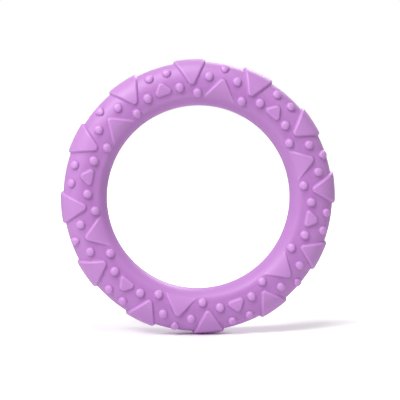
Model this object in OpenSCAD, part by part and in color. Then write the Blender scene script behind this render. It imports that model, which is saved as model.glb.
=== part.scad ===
// Chew ring for a dog: a round rubber ring with raised triangles and domed nubs on both faces.
// It stands upright on its rim. +Z is up, the ring's axis is along Y and the front faces -Y.
// The origin is on the ground, under the middle of the ring.
// Angles round the ring run clockwise from the top, seen from the front.

/* [Ring] */
// Diameter over the crowns of the rim triangles
ring_d = 160; // [150:1:190]
// Width of the tube, from the edge of the hole to the crowns
tube_w = 26.8; // [26:0.2:30]
// Thickness of the tube from front to back, over the triangles
tube_t = 23; // [20:0.5:25]
// Radius of the tube's rounded sides, as a share of half its thickness
side_share = 0.913; // [0.86:0.001:0.95]
// Depth of the textured floor below the triangles
relief = 1.6; // [1.3:0.1:2]

/* [Smooth band] */
// Width of the smooth band round the hole, seen from the front
band_w = 4.2; // [3.5:0.1:5.5]
// Width of the slope at the edge of the smooth band
slope_w = 4; // [3:0.1:5]
// Depth of that slope
slope_h = 0.85; // [0.7:0.05:1.1]
// Width over which the floor falls on to its full depth, from the middle of the slope
ease_w = 8; // [6:0.5:10]

/* [Pattern] */
// How many times the pattern repeats round the ring
repeats = 6; // [5:1:6]
// Turn of the whole pattern round the ring
pattern_turn = 11; // [0:1:60]

/* [Rim triangles] */
// Width of a rim triangle at its crown
rim_tri_w = 18.6; // [14:0.1:20]
// Distance from the crown to the rounded tip, seen from the front
rim_tri_h = 14.6; // [12:0.1:15]
// Radius of the tip
rim_tip_r = 1.8; // [1:0.1:2.4]

/* [Inner triangles] */
// Width of an inner triangle where it leaves the smooth band
inner_tri_w = 17.8; // [14:0.1:18.6]
// Distance from the smooth band to the rounded tip, seen from the front
inner_tri_h = 12; // [10:0.1:12.4]
// Radius of the tip
inner_tip_r = 1.8; // [1:0.1:2.4]

/* [Small triangles] */
// Width of a small triangle's base, before its corners are rounded
small_tri_w = 11.5; // [10:0.1:12]
// Height of a small triangle from its base to its rounded tip, seen from the front
small_tri_h = 6.9; // [6:0.1:7.6]
// Distance from the smooth band to the base, seen from the front
small_tri_gap = 5.1; // [4.8:0.1:6.6]
// Radius of its tip
small_tip_r = 2; // [1:0.1:2.2]
// Radius of its two corners at the base
small_corner_r = 1.5; // [0.8:0.1:1.7]

/* [Nubs] */
// Diameter of a nub
nub_d = 5; // [4:0.1:5.5]
// Height of a nub above the floor
nub_h = 2; // [1.4:0.1:2.2]
// Radius of a nub's domed end
nub_dome_r = 3.1; // [3:0.1:5]

/* [Hidden] */
rubber = [0.77, 0.53, 0.82];
pitch = 360 / repeats;
ring_r = ring_d / 2;
half_w = tube_w / 2;
half_t = tube_t / 2;
tube_r = ring_r - half_w;

// The tube's section is an oval of four arcs that meet smoothly: two side arcs and two flatter face arcs
side_r = half_t * side_share;
face_r = (half_w ^ 2 + half_t ^ 2 - 2 * half_w * side_r) / (2 * (half_t - side_r));
side_centre = half_w - side_r;
face_centre = face_r - half_t;
// Angle of the surface, from straight outwards, where a side arc meets a face arc
join_angle = atan2(face_centre, side_centre);

// Straight steps round the outline of the section, and round a corner of a triangle
section_steps = 72;
corner_steps = 6;
section_tilts = [for (i = [0:section_steps - 1]) 360 * i / section_steps];

// The smooth band's edge and the middle of its slope, as distances from the tube's middle
band_edge = band_w - half_w;
slope_middle = band_edge + slope_w / 2;
// An inner triangle's foot starts this share of the slope's width past the band's edge, so that
// it has some thickness there
foot_share = 0.2;
// Distances from the ring's axis: the smooth band's edge and an inner triangle's foot
band_r = tube_r + band_edge;
foot_r = band_r + slope_w * foot_share;

// Places of the nubs in one repeat: the angle round the ring as a share of the pitch, and the tilt
// of the surface there, from straight outwards (0) to straight to the front (90)
arch_nub_shares = [[-0.206, 114.5], [-0.113, 75.5], [0, 45], [0.113, 75.5], [0.206, 114.5]];
corner_nub_shares = [[0.356, 98.5], [0.432, 57], [0.568, 57], [0.644, 98.5]];
// How far a nub starts below the floor, before the ring body is cut away from it
nub_root = nub_d / 4;

// Places of the triangles in one repeat, as shares of the pitch
rim_tri_share = 0.25;
small_tri_share = 0.5;

sides = ["front", "back"];
$fn = 96;

// The point of the section where the surface is tilted by angle a, on the section moved outwards by h
function section_point(a, h) =
    let (
        on_side = abs(cos(a)) > cos(join_angle),
        centre = on_side ? [sign(cos(a)) * side_centre, 0] : [0, -sign(sin(a)) * face_centre],
        r = on_side ? side_r : face_r
    )
    centre + (r + h) * [cos(a), sin(a)];

// Rises smoothly from 0 to 1 as v does
function smooth_step(v) =
    let (t = max(0, min(1, v)))
    t * t * (3 - 2 * t);

// Depth of the floor below the skin, at distance x from the tube's middle
function floor_depth(x) =
    slope_h * smooth_step((x - band_edge) / slope_w)
    + (relief - slope_h) * smooth_step((x - slope_middle) / ease_w);

// The point of the floor, or of the smooth band, below the skin where its surface is tilted by angle a
function floor_point(a) = section_point(a, -floor_depth(section_point(a, 0).x));

function unit(v) = v / norm(v);

// Points of the arc of radius r that rounds corner b, between its neighbours a and c
function corner_arc(a, b, c, r) =
    let (
        u = unit(a - b),
        v = unit(c - b),
        half = acos(u * v) / 2,
        centre = b + unit(u + v) * r / sin(half),
        start = b + u * r / tan(half) - centre,
        turn = -sign(cross(u, v)) * (180 - 2 * half)
    )
    [for (i = [0:corner_steps])
        let (t = turn * i / corner_steps)
        centre + [start.x * cos(t) - start.y * sin(t), start.x * sin(t) + start.y * cos(t)]];

// Height of the sharp triangle of base w whose tip, rounded to radius r, lies at height h
function sharp_height(w, h, r) =
    w / 2 / tan(atan2(w / 2, h - r) - asin(r / norm([w / 2, h - r])));

module around_axis(points) {
    rotate([90, 0, 0])
        rotate_extrude()
            translate([tube_r, 0])
                polygon(points);
}

// The whole ring out to the level of the triangles' tops
module skin() {
    around_axis([for (a = section_tilts) section_point(a, 0)]);
}

// The tube with its recessed floor, its slope and the smooth band
module tube() {
    around_axis([for (a = section_tilts) floor_point(a)]);
}

// Puts a piece made at the top of the ring, on its front, at an angle round it and on either side
module place(angle, side) {
    translate([0, 0, ring_r])
        rotate([0, angle, 0])
            mirror([0, side == "back" ? 1 : 0, 0])
                children();
}

// A raised pad: the outline, drawn as seen from the front, from the floor up to the skin.
// It runs through from the front to the back, or from the middle to the front alone.
module pad(through) {
    difference() {
        intersection() {
            skin();
            translate([0, through ? half_t : 0, 0])
                rotate([90, 0, 0])
                    linear_extrude(through ? tube_t : half_t)
                        children();
        }
        tube();
    }
}

module ring_body() {
    color(rubber) place(0, "front") tube();
}

module rim_triangle(i) {
    height = sharp_height(rim_tri_w, rim_tri_h, rim_tip_r);
    tip = [0, ring_r - height];
    // The sides run on past the crown by the depth of the relief
    corner = [rim_tri_w / 2, height] * (1 + relief / height);
    right = tip + corner;
    left = [-right.x, right.y];
    angle = pattern_turn + pitch * floor((i - 1) / 2) + (i % 2 == 0 ? 1 : -1) * rim_tri_share * pitch;
    color(rubber) place(angle, "front") pad(true)
        polygon([each corner_arc(right, tip, left, rim_tip_r), left, right]);
}

module inner_triangle(side, i) {
    height = sharp_height(inner_tri_w, inner_tri_h, inner_tip_r);
    tip = [0, band_r + height];
    // The sides run on past the smooth band's edge by its width
    corner = [inner_tri_w / 2, -height] * (1 + band_w / height);
    right = tip + corner;
    left = [-right.x, right.y];
    color(rubber) place(pattern_turn + pitch * (i - 1), side) pad(false)
        difference() {
            polygon([each corner_arc(left, tip, right, inner_tip_r), right, left]);
            circle(foot_r);
        }
}

module small_triangle(side, i) {
    base = band_r + small_tri_gap;
    tip = [0, base + sharp_height(small_tri_w, small_tri_h, small_tip_r)];
    right = [small_tri_w / 2, base];
    left = [-right.x, base];
    color(rubber) place(pattern_turn + pitch * (i - 1 + small_tri_share), side) pad(false)
        polygon([
            each corner_arc(left, tip, right, small_tip_r),
            each corner_arc(tip, right, left, small_corner_r),
            each corner_arc(right, left, tip, small_corner_r)
        ]);
}

// A nub stands square to the floor, at an angle round the ring and a tilt of the surface
module nub(angle, tilt) {
    foot = floor_point(tilt);
    rotate([0, angle, 0])
        translate([0, -foot.y, tube_r + foot.x])
            rotate([tilt, 0, 0])
                intersection() {
                    translate([0, 0, -nub_root])
                        cylinder(d = nub_d, h = nub_root + nub_h);
                    translate([0, 0, nub_h - nub_dome_r])
                        sphere(r = nub_dome_r);
                }
}

module nubs(side, i) {
    color(rubber) place(pattern_turn + pitch * (i - 1), side)
        difference() {
            for (place_share = [each arch_nub_shares, each corner_nub_shares])
                nub(place_share[0] * pitch, place_share[1]);
            tube();
        }
}

ring_body();
for (i = [1:2 * repeats])
    rim_triangle(i);
for (side = sides, i = [1:repeats]) {
    inner_triangle(side, i);
    small_triangle(side, i);
    nubs(side, i);
}
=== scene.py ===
"""Dresses a rubber chew ring for dogs: smooth moulded surfaces, rubber, a pale floor, light and camera.

The ring stands upright on its rim. +Z is up, the ring's axis is along Y and its front faces -Y.
Angles round the ring run clockwise from the top, seen from the front.
"""

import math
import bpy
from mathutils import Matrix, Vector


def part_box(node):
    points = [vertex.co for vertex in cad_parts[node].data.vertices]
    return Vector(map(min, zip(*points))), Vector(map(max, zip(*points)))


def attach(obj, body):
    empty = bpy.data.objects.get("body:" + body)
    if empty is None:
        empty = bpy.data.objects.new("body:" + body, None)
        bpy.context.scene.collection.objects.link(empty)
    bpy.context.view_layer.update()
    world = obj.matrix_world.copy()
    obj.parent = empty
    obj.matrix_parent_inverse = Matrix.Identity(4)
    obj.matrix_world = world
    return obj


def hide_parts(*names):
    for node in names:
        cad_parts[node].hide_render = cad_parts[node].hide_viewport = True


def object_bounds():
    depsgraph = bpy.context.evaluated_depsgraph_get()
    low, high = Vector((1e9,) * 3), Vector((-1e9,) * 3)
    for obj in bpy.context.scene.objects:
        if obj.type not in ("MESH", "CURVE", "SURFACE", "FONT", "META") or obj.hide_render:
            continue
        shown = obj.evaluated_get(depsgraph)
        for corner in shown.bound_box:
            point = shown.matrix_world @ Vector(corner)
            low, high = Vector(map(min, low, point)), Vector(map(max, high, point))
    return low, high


bl_info = {
    "name": "Rubber Chew Ring",
    "version": (1, 0, 0),
    "blender": (4, 5, 0),
    "location": "3D View > Sidebar > Chew Ring",
    "description": "Models a moulded rubber chew ring with raised triangles and domed nubs",
    "category": "Add Mesh",
}

import bmesh
import bpy
from mathutils import Vector

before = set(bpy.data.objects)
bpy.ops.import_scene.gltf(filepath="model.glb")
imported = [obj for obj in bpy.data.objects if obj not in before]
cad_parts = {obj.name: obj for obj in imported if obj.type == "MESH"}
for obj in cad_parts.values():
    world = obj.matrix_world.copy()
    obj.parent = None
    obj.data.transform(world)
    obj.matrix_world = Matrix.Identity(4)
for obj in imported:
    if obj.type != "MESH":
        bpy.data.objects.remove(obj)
CAD_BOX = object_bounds()

BODY = "root"
SIDES = ("front", "back")
MM = 0.001

# Sizes in millimetres that are read off the frame
TRIANGLE_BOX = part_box("rim_triangle_1")
RING_R = (CAD_BOX[1].z - CAD_BOX[0].z) / 2 / MM
TUBE_T = (TRIANGLE_BOX[1].y - TRIANGLE_BOX[0].y) / MM
RELIEF = (CAD_BOX[1].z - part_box("ring_body")[1].z) / MM

# How far the foot of a raised piece is pressed into the floor, so that no gap shows, and how far past
# the smooth band the floor is deep enough for it
SINK = 0.03 * MM
SINK_FADE = MM
# Width of the strips that let a flat piece bend
STRIP_W = MM
# Points closer than this are merged
MERGE_DISTANCE = 0.002 * MM
# Rounds in which a surface that lies below the skin is found
ROUNDS = 5

# Facets of the tube: round its section, and round the ring
SECTION_FACETS, RING_FACETS = 240, 300
# Points on the outline of a rim triangle, and of a triangle on the face
RIM_OUTLINE_POINTS, FACE_OUTLINE_POINTS = 96, 144
# Steps of the hollow at the foot of a wall or a nub, and of the rounded edge of a wall
ROUNDING_STEPS = 4
# Steps of a nub from its foot to its top, and its facets all round
DOME_STEPS, NUB_FACETS = 10, 36
# A nub's outline is an ellipse made squarer by a power above 2
NUB_POWER = 2.2

# Attribute that tells how raised a place is, from 0 to 1, and its values on the pieces. It paints light
# and shade into the rubber's colour: painted shade in the hollows and at the feet of walls and nubs,
# painted light on tops, edges and nubs
LIFT = "lift"
BAND_LIFT, HOLLOW_LIFT, FLOOR_LIFT = 0.35, 0.08, 0.4
# Painted highlight along the rounded edges of the triangles, and painted light on their tops
EDGE_LIFT, TOP_LIFT = 1, 0.52
# Share of the relief above which a place counts as the top of a triangle
TOP_SHARE = 0.999
# Share of a nub's height at which its lift, and so its painted light, is full
NUB_LIFT_SHARE = 0.625

# Where things lie in one repeat of the pattern, as shares of the pitch past an inner triangle
RIM_TRIANGLE_SHARE = 0.25
SMALL_TRIANGLE_SHARE = 0.5

# Side of a square lamp and its distance from the middle of the ring, in metres
LAMP_SIZE = 0.5
LAMP_DISTANCE = 1.5
# Radius of the round floor in metres, and its number of sides
FLOOR_RADIUS, FLOOR_SIDES = 20, 96


def millimetres(name, size, description):
    """A length property, written in millimetres and kept in metres."""
    return bpy.props.FloatProperty(
        name=name, description=description, default=size * MM, min=0, unit="LENGTH", precision=5
    )


def share(name, value, description):
    """A property for a share of something else."""
    return bpy.props.FloatProperty(name=name, description=description, default=value, subtype="FACTOR")


def angle(name, degrees, description):
    """An angle property, written in degrees and kept in radians."""
    return bpy.props.FloatProperty(
        name=name, description=description, default=math.radians(degrees), subtype="ANGLE"
    )


def watts(name, power, description):
    """A property for the power of a lamp."""
    return bpy.props.FloatProperty(name=name, description=description, default=power, min=0, unit="POWER")


def colour(name, rgb, description):
    """A colour property."""
    return bpy.props.FloatVectorProperty(
        name=name, description=description, default=rgb, min=0, max=1, size=3, subtype="COLOR"
    )


class ChewRingShape(bpy.types.PropertyGroup):
    """Sizes of the ring and of its raised pattern"""

    ring_r: millimetres("Ring radius", RING_R, "Out to the crowns")
    tube_w: millimetres("Tube width", 26.8, "From the edge of the hole to the crowns")
    tube_t: millimetres("Tube thickness", TUBE_T, "Over the triangles")
    side_share: share("Side roundness", 0.913, "Radius of the sides, as a share of half the thickness")
    relief: millimetres("Relief", RELIEF, "Depth of the floor below the triangles")
    band_w: millimetres("Band width", 4.2, "Width of the smooth band round the hole")
    slope_w: millimetres("Slope width", 4, "Width of the slope at the edge of the smooth band")
    slope_h: millimetres("Slope depth", 0.85, "Depth of that slope")
    ease_w: millimetres("Ease width", 8, "Width over which the floor falls on to its full depth")
    repeats: bpy.props.IntProperty(name="Repeats", description="Repeats of the pattern", default=6, min=1)
    pattern_turn: angle("Pattern turn", 11, "Turn of the whole pattern round the ring")

    rim_tri_w: millimetres("Rim triangle width", 18.6, "At the crown")
    rim_tri_h: millimetres("Rim triangle height", 14.6, "From the crown to the rounded tip")
    rim_tip_r: millimetres("Rim triangle tip", 1.8, "Radius of the tip")
    inner_tri_w: millimetres("Inner triangle width", 17.8, "At the smooth band")
    inner_tri_h: millimetres("Inner triangle height", 12, "From the smooth band to the rounded tip")
    inner_tip_r: millimetres("Inner triangle tip", 1.8, "Radius of the tip")
    small_tri_w: millimetres("Small triangle width", 11.5, "Before its corners are rounded")
    small_tri_h: millimetres("Small triangle height", 6.9, "From the base to the rounded tip")
    small_tri_gap: millimetres("Small triangle gap", 5.1, "From the smooth band to the base")
    small_tip_r: millimetres("Small triangle tip", 2, "Radius of the tip")
    small_corner_r: millimetres("Small triangle corners", 1.5, "Radius of the two corners at the base")

    edge_r: millimetres("Edge radius", 1.1, "Rounding along the top of a triangle's wall")
    foot_r: millimetres("Foot radius", 0.45, "Hollow along the foot of a triangle's wall")
    wall_draft: angle("Wall draft", 30, "Slant of a triangle's wall")

    nub_d: millimetres("Nub diameter", 5, "Diameter of a nub")
    nub_h: millimetres("Nub height", 1.97, "Height of a nub above the floor")
    nub_foot_r: millimetres("Nub foot radius", 0.35, "Hollow round the foot of a nub")


class ChewRingRubber(bpy.types.PropertyGroup):
    """Colours and finish of the rubber, with a lit and a shaded tone that paint light and shade into it
    """

    # Painted light: a lit copy of the rubber's colour, put on nubs, edges and tops
    painted_lit_tone: colour("Painted lit tone", (0.635, 0.31, 0.715), "Colour of the rubber on nubs and edges")
    # Painted shade: a shaded copy of the rubber's colour, put in the hollows and at the feet of walls and
    # nubs
    painted_shade_tone: colour("Painted shade tone", (0.46, 0.187, 0.532), "Colour of the rubber in the hollows")
    roughness: share("Roughness", 0.5, "Roughness of the moulded finish")
    # Smoother where the lift is high, on the raised places that carry the painted light
    polish: share("Polish", 0.1, "How much smoother the handled places are")
    grain: millimetres("Grain", 0.006, "Depth of the fine mould grain")


class ChewRingStudio(bpy.types.PropertyGroup):
    """Camera, light and floor"""

    azimuth: angle("Azimuth", -4.3, "Turn of the camera round the ring")
    elevation: angle("Elevation", 3.8, "Height of the camera above the horizon")
    distance: millimetres("Distance", 800, "From the camera to the middle of the ring")
    lens: bpy.props.FloatProperty(name="Lens", description="Focal length", default=123.7, unit="CAMERA")
    aim_right: millimetres("Aim right", 0.76, "How far right of the ring's middle the camera looks")
    aim_below: millimetres("Aim below", 1.7, "How far below the ring's middle the camera looks")
    key_power: watts("Key lamp", 12.6, "Power of the lamp at the upper left")
    top_power: watts("Top lamp", 8.8, "Power of the lamp over the ring")
    back_power: watts("Back lamp", 7, "Power of the lamp behind the ring")
    sky: share("Sky", 0.22, "Strength of the even light from all round")
    backdrop: colour("Backdrop", (0.9, 0.9, 0.9), "Colour of the floor")
    # The glow's pink tint is painted bounce light from the rubber on the floor
    glow_tint: colour("Glow tint", (1, 0.965, 0.99), "Colour of the glow that the camera sees")
    least_glow: share("Least glow", 0.28, "Strength of the floor's glow near the ring")
    # The glow fading out over this reach round the contact is a painted contact shadow on the floor
    contact_reach: millimetres("Contact reach", 25, "How far round the contact the glow fades out")
    glow_near: millimetres("Glow near", 50, "Distance from the contact where the glow starts to rise")
    glow_far: millimetres("Glow far", 300, "Distance from the contact where the glow is full")


def shape():
    """The sizes that the panel shows."""
    return bpy.context.scene.chew_ring_shape


class TubeSection:
    """The tube's oval section, made of two side arcs and two flatter face arcs that meet smoothly."""

    def __init__(self, sizes):
        half_w = sizes.tube_w / 2
        half_t = sizes.tube_t / 2
        self.ring_r = sizes.ring_r
        self.tube_r = sizes.ring_r - half_w
        self.relief = sizes.relief
        self.slope_w = sizes.slope_w
        self.slope_h = sizes.slope_h
        self.ease_w = sizes.ease_w
        self.band_r = sizes.ring_r - sizes.tube_w + sizes.band_w
        self.side_r = half_t * sizes.side_share
        self.face_r = (half_w**2 + half_t**2 - 2 * half_w * self.side_r) / (2 * (half_t - self.side_r))
        self.side_centre = half_w - self.side_r
        self.face_centre = self.face_r - half_t
        self.join = math.atan2(self.face_centre, self.side_centre)

    def arc(self, tilt):
        """Centre and radius of the arc where the surface has this tilt, from straight outwards."""
        if abs(math.cos(tilt)) > math.cos(self.join):
            return math.copysign(self.side_centre, math.cos(tilt)), 0, self.side_r
        return 0, -math.copysign(self.face_centre, math.sin(tilt)), self.face_r

    def point(self, tilt, level):
        """Distances outwards and forwards from the tube's middle, on the section moved out by level."""
        out, forward, radius = self.arc(tilt)
        reach = radius + level
        return out + reach * math.cos(tilt), forward + reach * math.sin(tilt)

    def tilt_at(self, out, level):
        """Tilt of the front surface at a distance outwards from the tube's middle."""
        if abs(out) < (self.face_r + level) * math.cos(self.join):
            return math.acos(out / (self.face_r + level))
        cosine = (out - math.copysign(self.side_centre, out)) / (self.side_r + level)
        return math.acos(max(-1, min(1, cosine)))

    def tilt_after(self, run):
        """Tilt of the surface at the end of a run along the section from the crown to the front."""
        side_run = self.side_r * self.join
        if abs(run) < side_run:
            return run / self.side_r
        return math.copysign(self.join + (abs(run) - side_run) / self.face_r, run)

    def run_to(self, tilt):
        """Run along the section from the crown to this tilt, on the outer half or the face."""
        if tilt < self.join:
            return self.side_r * tilt
        return self.side_r * self.join + self.face_r * (tilt - self.join)

    def depth(self, out):
        """Depth of the floor below the skin, at a distance outwards from the tube's middle."""
        reach = self.tube_r + out - self.band_r
        slope = self.slope_h * smooth_step(reach / self.slope_w)
        ease = (self.relief - self.slope_h) * smooth_step((reach - self.slope_w / 2) / self.ease_w)
        return slope + ease

    def floor_depth(self, tilt):
        """Depth of the floor below the skin where the surface has this tilt."""
        return self.depth(self.point(tilt, 0)[0])

    def lift(self, reach):
        """Lift of the tube at a distance from the ring's axis: least in the hollow beside the band, where
        it paints shade.
        """
        past = reach - self.band_r
        fall = (BAND_LIFT - HOLLOW_LIFT) * smooth_step(past / self.slope_w)
        rise = (FLOOR_LIFT - HOLLOW_LIFT) * smooth_step((past - self.ease_w) / self.ease_w)
        return BAND_LIFT - fall + rise

    def forward_at(self, out, raised, sink):
        """How far forwards the surface lies there, raised by a share of the way from floor to skin."""
        skin = out
        for _ in range(ROUNDS):
            level = (raised - 1) * self.depth(skin) - sink
            skin, _ = self.point(self.tilt_at(out, level), 0)
        return self.point(self.tilt_at(out, level), level)[1]


def smooth_step(value):
    """Rises smoothly from 0 to 1 as the value does."""
    value = max(0, min(1, value))
    return value * value * (3 - 2 * value)


def sharp_height(width, height, tip_r):
    """Height of the sharp triangle of this width whose rounded tip lies at this height."""
    half = width / 2
    slant = math.hypot(half, height - tip_r)
    return half / math.tan(math.atan2(half, height - tip_r) - math.asin(tip_r / slant))


def turns_to(turn, steps):
    """Even steps from nothing to a turn."""
    return [turn * step / steps for step in range(steps + 1)]


def turn_at(sizes, place):
    """Turn round the ring of a place in the pattern, counted in repeats."""
    return sizes.pattern_turn + 2 * math.pi / sizes.repeats * place


def ring_point(section, turn, reach, forward):
    """The place at a turn round the ring, a distance from its axis and a distance forwards."""
    return Vector((reach * math.sin(turn), -forward, section.ring_r + reach * math.cos(turn)))


def wall_steps(sizes):
    """The wall of a triangle from its foot up, as runs inwards and rises, with the run in to its edge."""
    slope = math.pi / 2 - sizes.wall_draft
    turns = turns_to(slope, ROUNDING_STEPS)
    points = [(sizes.foot_r * math.sin(t), sizes.foot_r * (1 - math.cos(t))) for t in turns]
    edge_rise = sizes.edge_r * (1 - math.cos(slope))
    wall_rise = sizes.relief - points[-1][1] - edge_rise
    wall_run = points[-1][0] + wall_rise / math.tan(slope)
    edge_run = wall_run + sizes.edge_r * math.sin(slope)
    for turn in reversed(turns):
        run = edge_run - sizes.edge_r * math.sin(turn)
        points.append((run, sizes.relief - sizes.edge_r * (1 - math.cos(turn))))
    return points, wall_run


def raise_pad(mesh, sizes):
    """Raises the flat foot of a triangle into its wall, its edge and its top, and marks the lift: painted
    shade at the foot, a painted highlight along the edge and painted light on the top.
    """
    mesh.faces.ensure_lookup_table()
    top = mesh.faces[0]
    points, _ = wall_steps(sizes)
    bmesh.ops.translate(mesh, verts=top.verts[:], vec=(0, 0, -SINK))
    last_run, last_rise = -SINK, -SINK
    for run, rise in points:
        bmesh.ops.inset_region(
            mesh, faces=[top], thickness=run - last_run, depth=rise - last_rise,
            use_boundary=True, use_even_offset=True,
        )
        last_run, last_rise = run, rise
    slice_flat(mesh)
    lift = mesh.verts.layers.float.new(LIFT)
    # Painted shade at the foot of the wall, a painted highlight on its rounded edge, painted light on the
    # top
    for vert in mesh.verts:
        risen = vert.co.z / sizes.relief
        vert[lift] = TOP_LIFT if risen > TOP_SHARE else EDGE_LIFT * max(0, risen)


def slice_flat(mesh):
    """Cuts a flat piece into strips both ways, so that it can bend."""
    for axis in (0, 1):
        normal = Vector((0, 0, 0))
        normal[axis] = 1
        low = min(vert.co[axis] for vert in mesh.verts)
        high = max(vert.co[axis] for vert in mesh.verts)
        for line in range(math.ceil(low / STRIP_W), math.floor(high / STRIP_W) + 1):
            bmesh.ops.bisect_plane(
                mesh, geom=mesh.verts[:] + mesh.edges[:] + mesh.faces[:], dist=MERGE_DISTANCE / 2,
                plane_co=normal * line * STRIP_W, plane_no=normal,
            )


def finished_object(node, mesh):
    """Makes the finished mesh a rubber object that stands for its CAD node."""
    bmesh.ops.remove_doubles(mesh, verts=mesh.verts[:], dist=MERGE_DISTANCE)
    bmesh.ops.recalc_face_normals(mesh, faces=mesh.faces[:])
    data = bpy.data.meshes.new("moulded_" + node)
    mesh.to_mesh(data)
    mesh.free()
    for polygon in data.polygons:
        polygon.use_smooth = True
    data.materials.append(rubber())
    piece = bpy.data.objects.new("moulded_" + node, data)
    bpy.context.collection.objects.link(piece)
    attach(piece, BODY)
    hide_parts(node)


class CHEWRING_OT_body(bpy.types.Operator):
    """Model the tube of the ring with its floor, slope and smooth band"""

    bl_idname = "chew_ring.body"
    bl_label = "Ring Body"

    def execute(self, context):
        sizes = shape()
        section = TubeSection(sizes)
        mesh = bmesh.new()
        bmesh.ops.create_circle(mesh, segments=SECTION_FACETS, radius=1)
        for vert in mesh.verts:
            tilt = math.atan2(vert.co.y, vert.co.x)
            out, forward = section.point(tilt, -section.floor_depth(tilt))
            vert.co = ring_point(section, 0, section.tube_r + out, forward)
        bmesh.ops.spin(
            mesh, geom=mesh.verts[:] + mesh.edges[:], cent=(0, 0, section.ring_r), axis=(0, 1, 0),
            angle=2 * math.pi, steps=RING_FACETS, use_merge=True,
        )
        lift = mesh.verts.layers.float.new(LIFT)
        # Lift: painted shade in the hollow beside the band, a lighter painted tone on the band and the
        # outer floor
        for vert in mesh.verts:
            vert[lift] = section.lift(math.hypot(vert.co.x, vert.co.z - section.ring_r))
        finished_object("ring_body", mesh)
        return {"FINISHED"}


class CHEWRING_OT_rim_triangles(bpy.types.Operator):
    """Model the triangles that run over the rim from the front to the back"""

    bl_idname = "chew_ring.rim_triangles"
    bl_label = "Rim Triangles"

    def outline(self, sizes, section):
        """The foot of a rim triangle laid out flat: x round the ring, y the run from the crown."""
        _, foot_w = wall_steps(sizes)
        height = sharp_height(sizes.rim_tri_w, sizes.rim_tri_h, sizes.rim_tip_r)
        spread = math.atan2(sizes.rim_tri_w / 2, height)
        tip = sizes.ring_r - height - foot_w / math.sin(spread)
        tip_r = sizes.rim_tip_r + foot_w
        rounded_tip = tip + tip_r / math.sin(spread) - tip_r
        tip_run = section.run_to(section.tilt_at(rounded_tip - section.tube_r, 0))
        flank = 1 / math.tan(spread)
        mesh = bmesh.new()
        bmesh.ops.create_circle(mesh, segments=RIM_OUTLINE_POINTS, radius=1, cap_ends=True)
        for vert in mesh.verts:
            side = math.copysign(1, vert.co.x)
            run = tip_run * vert.co.y
            out, _ = section.point(section.tilt_after(abs(run)), 0)
            reach = section.tube_r + out
            # Half the width where the straight flank crosses the circle of this reach
            slant = flank**2 + 1
            width = (-tip * flank + math.sqrt(slant * reach**2 - tip**2)) / slant
            # Half the width on the arc that rounds the tip
            from_tip = tip_run - abs(run)
            if from_tip < tip_r * (1 - math.sin(spread)):
                width = math.sqrt(max(0, tip_r**2 - (tip_r - from_tip) ** 2))
            vert.co = (side * width, run, 0)
        return mesh

    def execute(self, context):
        sizes = shape()
        section = TubeSection(sizes)
        flat = self.outline(sizes, section)
        raise_pad(flat, sizes)
        for number in range(2 * sizes.repeats):
            turn = turn_at(sizes, number // 2 + RIM_TRIANGLE_SHARE * (1 if number % 2 else -1))
            mesh = flat.copy()
            for vert in mesh.verts:
                across, run, rise = vert.co
                tilt = section.tilt_after(run)
                skin, _ = section.point(tilt, 0)
                out, forward = section.point(tilt, rise - section.relief)
                around = math.asin(across / (section.tube_r + skin))
                vert.co = ring_point(section, turn + around, section.tube_r + out, forward)
            finished_object("rim_triangle_%d" % (number + 1), mesh)
        flat.free()
        return {"FINISHED"}


def triangle_foot(apex, base, half_w, base_r, tip_r):
    """A flat triangle as seen from the front, with its tip upwards and its corners rounded."""
    mesh = bmesh.new()
    bmesh.ops.create_circle(mesh, segments=FACE_OUTLINE_POINTS, radius=1, cap_ends=True)
    spread = math.atan2(half_w, apex - base)
    base_in = base_r / math.tan((math.pi / 2 - spread) / 2)
    corners = [
        (Vector((base_in - half_w, base + base_r, 0)), base_r),
        (Vector((half_w - base_in, base + base_r, 0)), base_r),
        (Vector((0, apex - tip_r / math.sin(spread), 0)), tip_r),
    ]
    for vert in mesh.verts:
        facing = vert.co.copy()
        centre, radius = max(corners, key=lambda corner: corner[0].dot(facing) + corner[1])
        vert.co = centre + radius * facing
    bmesh.ops.remove_doubles(mesh, verts=mesh.verts[:], dist=MERGE_DISTANCE)
    return mesh


def press_on_face(mesh, section, turn, side, sink):
    """Lays a flat piece, drawn as seen from the front, on one face, sunk where it meets the band."""
    for vert in mesh.verts:
        across, up, rise = vert.co
        reach = math.hypot(across, up)
        under = sink * (1 - smooth_step((reach - section.band_r) / SINK_FADE))
        forward = section.forward_at(reach - section.tube_r, rise / section.relief, under)
        around = turn + math.atan2(across, up)
        vert.co = ring_point(section, around, reach, forward if side == "front" else -forward)


def set_on_faces(flat, name, sizes, section, place, sink):
    """Sets copies of a flat piece round both faces, at one place in each repeat."""
    for side in SIDES:
        for number in range(sizes.repeats):
            mesh = flat.copy()
            press_on_face(mesh, section, turn_at(sizes, number + place), side, sink)
            finished_object("%s_%s_%d" % (name, side, number + 1), mesh)
    flat.free()


class CHEWRING_OT_inner_triangles(bpy.types.Operator):
    """Model the triangles that grow out of the smooth band on both faces"""

    bl_idname = "chew_ring.inner_triangles"
    bl_label = "Inner Triangles"

    def execute(self, context):
        sizes = shape()
        section = TubeSection(sizes)
        _, foot_w = wall_steps(sizes)
        height = sharp_height(sizes.inner_tri_w, sizes.inner_tri_h, sizes.inner_tip_r)
        spread = math.atan2(sizes.inner_tri_w / 2, height)
        apex = section.band_r + height + foot_w / math.sin(spread)
        base = section.band_r - sizes.slope_w / 2
        half_w = (apex - base) * math.tan(spread)
        flat = triangle_foot(apex, base, half_w, 0, sizes.inner_tip_r + foot_w)
        raise_pad(flat, sizes)
        set_on_faces(flat, "inner_triangle", sizes, section, 0, SINK)
        return {"FINISHED"}


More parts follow.
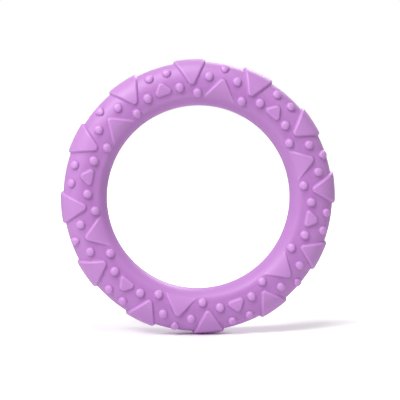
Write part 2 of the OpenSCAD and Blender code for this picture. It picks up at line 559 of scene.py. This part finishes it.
class CHEWRING_OT_small_triangles(bpy.types.Operator):
    """Model the small free-standing triangles on both faces"""

    bl_idname = "chew_ring.small_triangles"
    bl_label = "Small Triangles"

    def execute(self, context):
        sizes = shape()
        section = TubeSection(sizes)
        _, foot_w = wall_steps(sizes)
        height = sharp_height(sizes.small_tri_w, sizes.small_tri_h, sizes.small_tip_r)
        spread = math.atan2(sizes.small_tri_w / 2, height)
        base = section.band_r + sizes.small_tri_gap
        apex = base + height + foot_w / math.sin(spread)
        base -= foot_w
        half_w = (apex - base) * math.tan(spread)
        base_r = sizes.small_corner_r + foot_w
        flat = triangle_foot(apex, base, half_w, base_r, sizes.small_tip_r + foot_w)
        raise_pad(flat, sizes)
        set_on_faces(flat, "small_triangle", sizes, section, SMALL_TRIANGLE_SHARE, 0)
        return {"FINISHED"}


# Places of the nubs in one repeat: the turn as a share of the pitch past an inner triangle, and the
# tilt of the surface there in degrees, from straight outwards
NUB_SHARES = (
    (-0.206, 114.5), (-0.113, 75.5), (0, 45), (0.113, 75.5), (0.206, 114.5),
    (0.356, 98.5), (0.432, 57), (0.568, 57), (0.644, 98.5),
)


class CHEWRING_OT_nubs(bpy.types.Operator):
    """Model the domed nubs on both faces"""

    bl_idname = "chew_ring.nubs"
    bl_label = "Nubs"

    def flat_nub(self, sizes):
        """One nub, laid out flat, with a hollow round its foot."""
        radius = sizes.nub_d / 2
        foot = sizes.nub_foot_r
        rise = sizes.nub_h - foot
        squareness = 2 / NUB_POWER
        profile = [(radius + foot + SINK, -SINK)]
        profile += [
            (radius + foot * (1 - math.sin(t)), foot * (1 - math.cos(t)))
            for t in turns_to(math.pi / 2, ROUNDING_STEPS)[:-1]
        ]
        profile += [
            (radius * math.cos(t) ** squareness, foot + rise * math.sin(t) ** squareness)
            for t in turns_to(math.pi / 2, DOME_STEPS)
        ]
        mesh = bmesh.new()
        verts = [mesh.verts.new((reach, 0, height)) for reach, height in profile]
        edges = [mesh.edges.new(pair) for pair in zip(verts, verts[1:])]
        bmesh.ops.spin(
            mesh, geom=verts + edges, cent=(0, 0, 0), axis=(0, 0, 1), angle=2 * math.pi,
            steps=NUB_FACETS, use_merge=True,
        )
        bmesh.ops.remove_doubles(mesh, verts=mesh.verts[:], dist=MERGE_DISTANCE)
        lift = mesh.verts.layers.float.new(LIFT)
        # Painted shade at the nub's foot, rising to painted light over its upper part
        for vert in mesh.verts:
            vert[lift] = min(1, max(0, vert.co.z / (sizes.nub_h * NUB_LIFT_SHARE)))
        return mesh

    def execute(self, context):
        sizes = shape()
        section = TubeSection(sizes)
        flat = self.flat_nub(sizes)
        for side in SIDES:
            for number in range(sizes.repeats):
                mesh = bmesh.new()
                for turn_share, tilt in NUB_SHARES:
                    turn = turn_at(sizes, number + turn_share)
                    nub = flat.copy()
                    self.press(nub, section, sizes.nub_h, turn, math.radians(tilt), side)
                    part = bpy.data.meshes.new("nub")
                    nub.to_mesh(part)
                    nub.free()
                    mesh.from_mesh(part)
                    bpy.data.meshes.remove(part)
                finished_object("nubs_%s_%d" % (side, number + 1), mesh)
        flat.free()
        return {"FINISHED"}

    def press(self, nub, section, nub_h, turn, tilt, side):
        """Stands a flat nub on the floor of the tube, with its foot bent to the floor."""
        _, _, radius = section.arc(tilt)
        middle_depth = section.floor_depth(tilt)
        middle, _ = section.point(tilt, -middle_depth)
        for vert in nub.verts:
            across, along, rise = vert.co
            here = tilt + along / (radius - middle_depth)
            top_share = max(0, rise / nub_h)
            depth = top_share * middle_depth + (1 - top_share) * section.floor_depth(here)
            out, forward = section.point(here, rise - depth)
            around = turn + math.asin(across / (section.tube_r + middle))
            vert.co = ring_point(
                section, around, section.tube_r + out, forward if side == "front" else -forward
            )


def node_group(name, inputs, outputs):
    """A shader node group with its named sockets, and its two end nodes."""
    group = bpy.data.node_groups.new(name, "ShaderNodeTree")
    for socket, kind, value in inputs:
        made = group.interface.new_socket(socket, in_out="INPUT", socket_type=kind)
        if value is not None:
            made.default_value = value
    for socket, kind in outputs:
        group.interface.new_socket(socket, in_out="OUTPUT", socket_type=kind)
    return group, group.nodes.new("NodeGroupInput"), group.nodes.new("NodeGroupOutput")


def mould_grain():
    """The fine grain that the mould leaves on the rubber, as a height."""
    name = "Mould grain"
    if name in bpy.data.node_groups:
        return bpy.data.node_groups[name]
    group, start, end = node_group(
        name,
        [("Vector", "NodeSocketVector", None), ("Fineness", "NodeSocketFloat", 1800.0)],
        [("Height", "NodeSocketFloat")],
    )
    fine = group.nodes.new("ShaderNodeTexNoise")
    fine.inputs["Detail"].default_value = 3
    group.links.new(start.outputs["Vector"], fine.inputs["Vector"])
    group.links.new(start.outputs["Fineness"], fine.inputs["Scale"])
    group.links.new(fine.outputs["Fac"], end.inputs["Height"])
    return group


def painted_light_shade_tone():
    """Paints light and shade into the rubber's colour: between a shaded and a lit tone by its lift, in
    soft patches, with a mask for its shine.
    """
    name = "Handled tone"
    if name in bpy.data.node_groups:
        return bpy.data.node_groups[name]
    group, start, end = node_group(
        name,
        [
            ("Vector", "NodeSocketVector", None),
            ("Lift", "NodeSocketFloat", None),
            ("Painted lit tone", "NodeSocketColor", None),
            ("Painted shade tone", "NodeSocketColor", None),
            ("Fineness", "NodeSocketFloat", 60.0),
            ("Patchiness", "NodeSocketFloat", 0.3),
        ],
        [("Colour", "NodeSocketColor"), ("Mask", "NodeSocketFloat")],
    )
    patches = group.nodes.new("ShaderNodeTexNoise")
    patches.inputs["Detail"].default_value = 4
    group.links.new(start.outputs["Vector"], patches.inputs["Vector"])
    group.links.new(start.outputs["Fineness"], patches.inputs["Scale"])
    centred = group.nodes.new("ShaderNodeMath")
    centred.operation = "SUBTRACT"
    centred.inputs[1].default_value = 0.5
    group.links.new(patches.outputs["Fac"], centred.inputs[0])
    raised = group.nodes.new("ShaderNodeMath")
    raised.operation = "MULTIPLY_ADD"
    raised.use_clamp = True
    group.links.new(centred.outputs["Value"], raised.inputs[0])
    group.links.new(start.outputs["Patchiness"], raised.inputs[1])
    group.links.new(start.outputs["Lift"], raised.inputs[2])
    # Painted shade where the lift is low, painted light where it is high
    mix = group.nodes.new("ShaderNodeMix")
    mix.data_type = "RGBA"
    group.links.new(raised.outputs["Value"], mix.inputs["Factor"])
    group.links.new(start.outputs["Painted shade tone"], mix.inputs["A"])
    group.links.new(start.outputs["Painted lit tone"], mix.inputs["B"])
    group.links.new(mix.outputs["Result"], end.inputs["Colour"])
    group.links.new(raised.outputs["Value"], end.inputs["Mask"])
    return group


def rubber():
    """Satin moulded rubber, with light and shade painted into its colour by the lift."""
    name = "Moulded rubber"
    if name in bpy.data.materials:
        return bpy.data.materials[name]
    finish = bpy.context.scene.chew_ring_rubber
    material = bpy.data.materials.new(name)
    material.use_nodes = True
    nodes, links = material.node_tree.nodes, material.node_tree.links
    surface = nodes["Principled BSDF"]
    surface.inputs["IOR"].default_value = 1.5
    place = nodes.new("ShaderNodeTexCoord")

    lift = nodes.new("ShaderNodeAttribute")
    lift.attribute_name = LIFT

    # Painted light and shade: the base colour runs from a shaded to a lit tone by the lift
    tone = nodes.new("ShaderNodeGroup")
    tone.node_tree = painted_light_shade_tone()
    tone.inputs["Painted lit tone"].default_value = (*finish.painted_lit_tone, 1)
    tone.inputs["Painted shade tone"].default_value = (*finish.painted_shade_tone, 1)
    links.new(place.outputs["Object"], tone.inputs["Vector"])
    links.new(lift.outputs["Fac"], tone.inputs["Lift"])
    links.new(tone.outputs["Colour"], surface.inputs["Base Color"])

    shine = nodes.new("ShaderNodeMapRange")
    shine.inputs["To Min"].default_value = finish.roughness
    shine.inputs["To Max"].default_value = finish.roughness - finish.polish
    links.new(tone.outputs["Mask"], shine.inputs["Value"])
    links.new(shine.outputs["Result"], surface.inputs["Roughness"])

    grain = nodes.new("ShaderNodeGroup")
    grain.node_tree = mould_grain()
    links.new(place.outputs["Object"], grain.inputs["Vector"])
    bump = nodes.new("ShaderNodeBump")
    bump.inputs["Distance"].default_value = finish.grain
    links.new(grain.outputs["Height"], bump.inputs["Height"])
    links.new(bump.outputs["Normal"], surface.inputs["Normal"])
    return material


def towards(azimuth, elevation):
    """The direction at an azimuth from straight in front, to the right, and at a height above level."""
    return Vector((
        math.sin(azimuth) * math.cos(elevation),
        -math.cos(azimuth) * math.cos(elevation),
        math.sin(elevation),
    ))


class CHEWRING_OT_stage(bpy.types.Operator):
    """Set up the floor, the lamps and the camera"""

    bl_idname = "chew_ring.stage"
    bl_label = "Studio"

    def execute(self, context):
        studio = context.scene.chew_ring_studio
        self.floor(studio)
        self.lamps(studio)
        self.sky(studio)
        self.camera(studio)
        context.scene.view_settings.view_transform = "Standard"
        return {"FINISHED"}

    def floor(self, studio):
        """A wide pale floor that keeps the ring's shadow and is white to the camera elsewhere."""
        mesh = bmesh.new()
        bmesh.ops.create_circle(mesh, segments=FLOOR_SIDES, radius=FLOOR_RADIUS, cap_ends=True)
        data = bpy.data.meshes.new("studio_floor")
        mesh.to_mesh(data)
        mesh.free()
        data.materials.append(self.floor_material(studio))
        floor = bpy.data.objects.new("studio_floor", data)
        bpy.context.collection.objects.link(floor)

    def floor_material(self, studio):
        """Plain matt white, with a glow for the camera that grows away from where the ring stands. The
        glow fades out round the contact as a painted contact shadow, and its pink tint is painted bounce
        light from the rubber.
        """
        material = bpy.data.materials.new("Studio floor")
        material.use_nodes = True
        nodes, links = material.node_tree.nodes, material.node_tree.links
        surface = nodes["Principled BSDF"]
        surface.inputs["Base Color"].default_value = (*studio.backdrop, 1)
        surface.inputs["Roughness"].default_value = 0.9
        surface.inputs["Specular IOR Level"].default_value = 0
        # Pink tint of the glow: painted bounce light from the rubber
        surface.inputs["Emission Color"].default_value = (*studio.glow_tint, 1)
        place = nodes.new("ShaderNodeTexCoord")
        reach = nodes.new("ShaderNodeVectorMath")
        reach.operation = "LENGTH"
        links.new(place.outputs["Object"], reach.inputs[0])
        glow = nodes.new("ShaderNodeMapRange")
        glow.interpolation_type = "SMOOTHSTEP"
        glow.inputs["From Min"].default_value = studio.glow_near
        glow.inputs["From Max"].default_value = studio.glow_far
        glow.inputs["To Min"].default_value = studio.least_glow
        links.new(reach.outputs["Value"], glow.inputs["Value"])
        ray = nodes.new("ShaderNodeLightPath")
        # Painted contact shadow: the glow fades out round where the ring stands
        contact = nodes.new("ShaderNodeMapRange")
        contact.interpolation_type = "SMOOTHSTEP"
        contact.inputs["From Max"].default_value = studio.contact_reach
        links.new(reach.outputs["Value"], contact.inputs["Value"])
        links.new(ray.outputs["Is Camera Ray"], contact.inputs["To Max"])
        seen = nodes.new("ShaderNodeMath")
        seen.operation = "MULTIPLY"
        links.new(contact.outputs["Result"], seen.inputs[0])
        links.new(glow.outputs["Result"], seen.inputs[1])
        links.new(seen.outputs["Value"], surface.inputs["Emission Strength"])
        return material

    def lamp(self, name, azimuth, elevation, power):
        """A square soft lamp that looks at the middle of the ring, from angles in degrees."""
        data = bpy.data.lights.new(name, "AREA")
        data.size = LAMP_SIZE
        data.energy = power
        lamp = bpy.data.objects.new(name, data)
        middle = Vector((0, 0, shape().ring_r))
        lamp.location = middle + LAMP_DISTANCE * towards(math.radians(azimuth), math.radians(elevation))
        lamp.rotation_euler = (middle - lamp.location).to_track_quat("-Z", "Y").to_euler()
        bpy.context.collection.objects.link(lamp)

    def lamps(self, studio):
        """A soft key lamp from the upper left, one over the ring and a weak one behind it."""
        self.lamp("Key lamp", azimuth=-45, elevation=40, power=studio.key_power)
        self.lamp("Top lamp", azimuth=-15, elevation=65, power=studio.top_power)
        self.lamp("Back lamp", azimuth=155, elevation=40, power=studio.back_power)

    def sky(self, studio):
        """Even light from all round, and plain white where it is seen or reflected."""
        world = bpy.data.worlds.new("Studio")
        bpy.context.scene.world = world
        world.use_nodes = True
        nodes, links = world.node_tree.nodes, world.node_tree.links
        light = nodes["Background"]
        light.inputs["Color"].default_value = (1, 1, 1, 1)
        ray = nodes.new("ShaderNodeLightPath")
        seen = nodes.new("ShaderNodeMath")
        seen.operation = "MAXIMUM"
        links.new(ray.outputs["Is Camera Ray"], seen.inputs[0])
        links.new(ray.outputs["Is Glossy Ray"], seen.inputs[1])
        strength = nodes.new("ShaderNodeMapRange")
        strength.inputs["To Min"].default_value = studio.sky
        strength.inputs["To Max"].default_value = 1
        links.new(seen.outputs["Value"], strength.inputs["Value"])
        links.new(strength.outputs["Result"], light.inputs["Strength"])

    def camera(self, studio):
        """A long lens at the height of the ring, a little to its left."""
        data = bpy.data.cameras.new("Camera")
        data.lens = studio.lens
        data.sensor_width = 36
        camera = bpy.data.objects.new("Camera", data)
        back = towards(studio.azimuth, studio.elevation)
        right = Vector((math.cos(studio.azimuth), math.sin(studio.azimuth), 0))
        middle = Vector((0, 0, shape().ring_r))
        aim = middle + right * studio.aim_right - Vector((0, 0, studio.aim_below))
        camera.location = aim + back * studio.distance
        camera.rotation_mode = "QUATERNION"
        camera.rotation_quaternion = (-back).to_track_quat("-Z", "Y")
        bpy.context.collection.objects.link(camera)
        bpy.context.scene.camera = camera


class CHEWRING_PT_panel(bpy.types.Panel):
    """Lists the sizes, the finish and the steps of the chew ring"""

    bl_label = "Chew Ring"
    bl_idname = "CHEWRING_PT_panel"
    bl_space_type = "VIEW_3D"
    bl_region_type = "UI"
    bl_category = "Chew Ring"

    def draw(self, context):
        layout = self.layout
        scene = context.scene
        for group in (scene.chew_ring_shape, scene.chew_ring_rubber, scene.chew_ring_studio):
            box = layout.box()
            for name in group.bl_rna.properties.keys():
                if name not in {"rna_type", "name"}:
                    box.prop(group, name)
        for operator in OPERATORS:
            layout.operator(operator.bl_idname)


GROUPS = (ChewRingShape, ChewRingRubber, ChewRingStudio)
OPERATORS = (
    CHEWRING_OT_body,
    CHEWRING_OT_rim_triangles,
    CHEWRING_OT_inner_triangles,
    CHEWRING_OT_small_triangles,
    CHEWRING_OT_nubs,
    CHEWRING_OT_stage,
)


def register():
    """Register the classes and the settings of the scene."""
    for cls in (*GROUPS, *OPERATORS, CHEWRING_PT_panel):
        bpy.utils.register_class(cls)
    bpy.types.Scene.chew_ring_shape = bpy.props.PointerProperty(type=ChewRingShape)
    bpy.types.Scene.chew_ring_rubber = bpy.props.PointerProperty(type=ChewRingRubber)
    bpy.types.Scene.chew_ring_studio = bpy.props.PointerProperty(type=ChewRingStudio)


def unregister():
    """Remove the settings and the classes again."""
    del bpy.types.Scene.chew_ring_studio
    del bpy.types.Scene.chew_ring_rubber
    del bpy.types.Scene.chew_ring_shape
    for cls in reversed((*GROUPS, *OPERATORS, CHEWRING_PT_panel)):
        bpy.utils.unregister_class(cls)


def corners(box):
    """A box as plain lists of numbers."""
    return [list(corner) for corner in box]


def main():
    """Build the ring, its rubber and its studio."""
    register()
    bpy.ops.chew_ring.body()
    bpy.ops.chew_ring.rim_triangles()
    bpy.ops.chew_ring.inner_triangles()
    bpy.ops.chew_ring.small_triangles()
    bpy.ops.chew_ring.nubs()
    bpy.ops.chew_ring.stage()


if __name__ == "__main__":
    main()
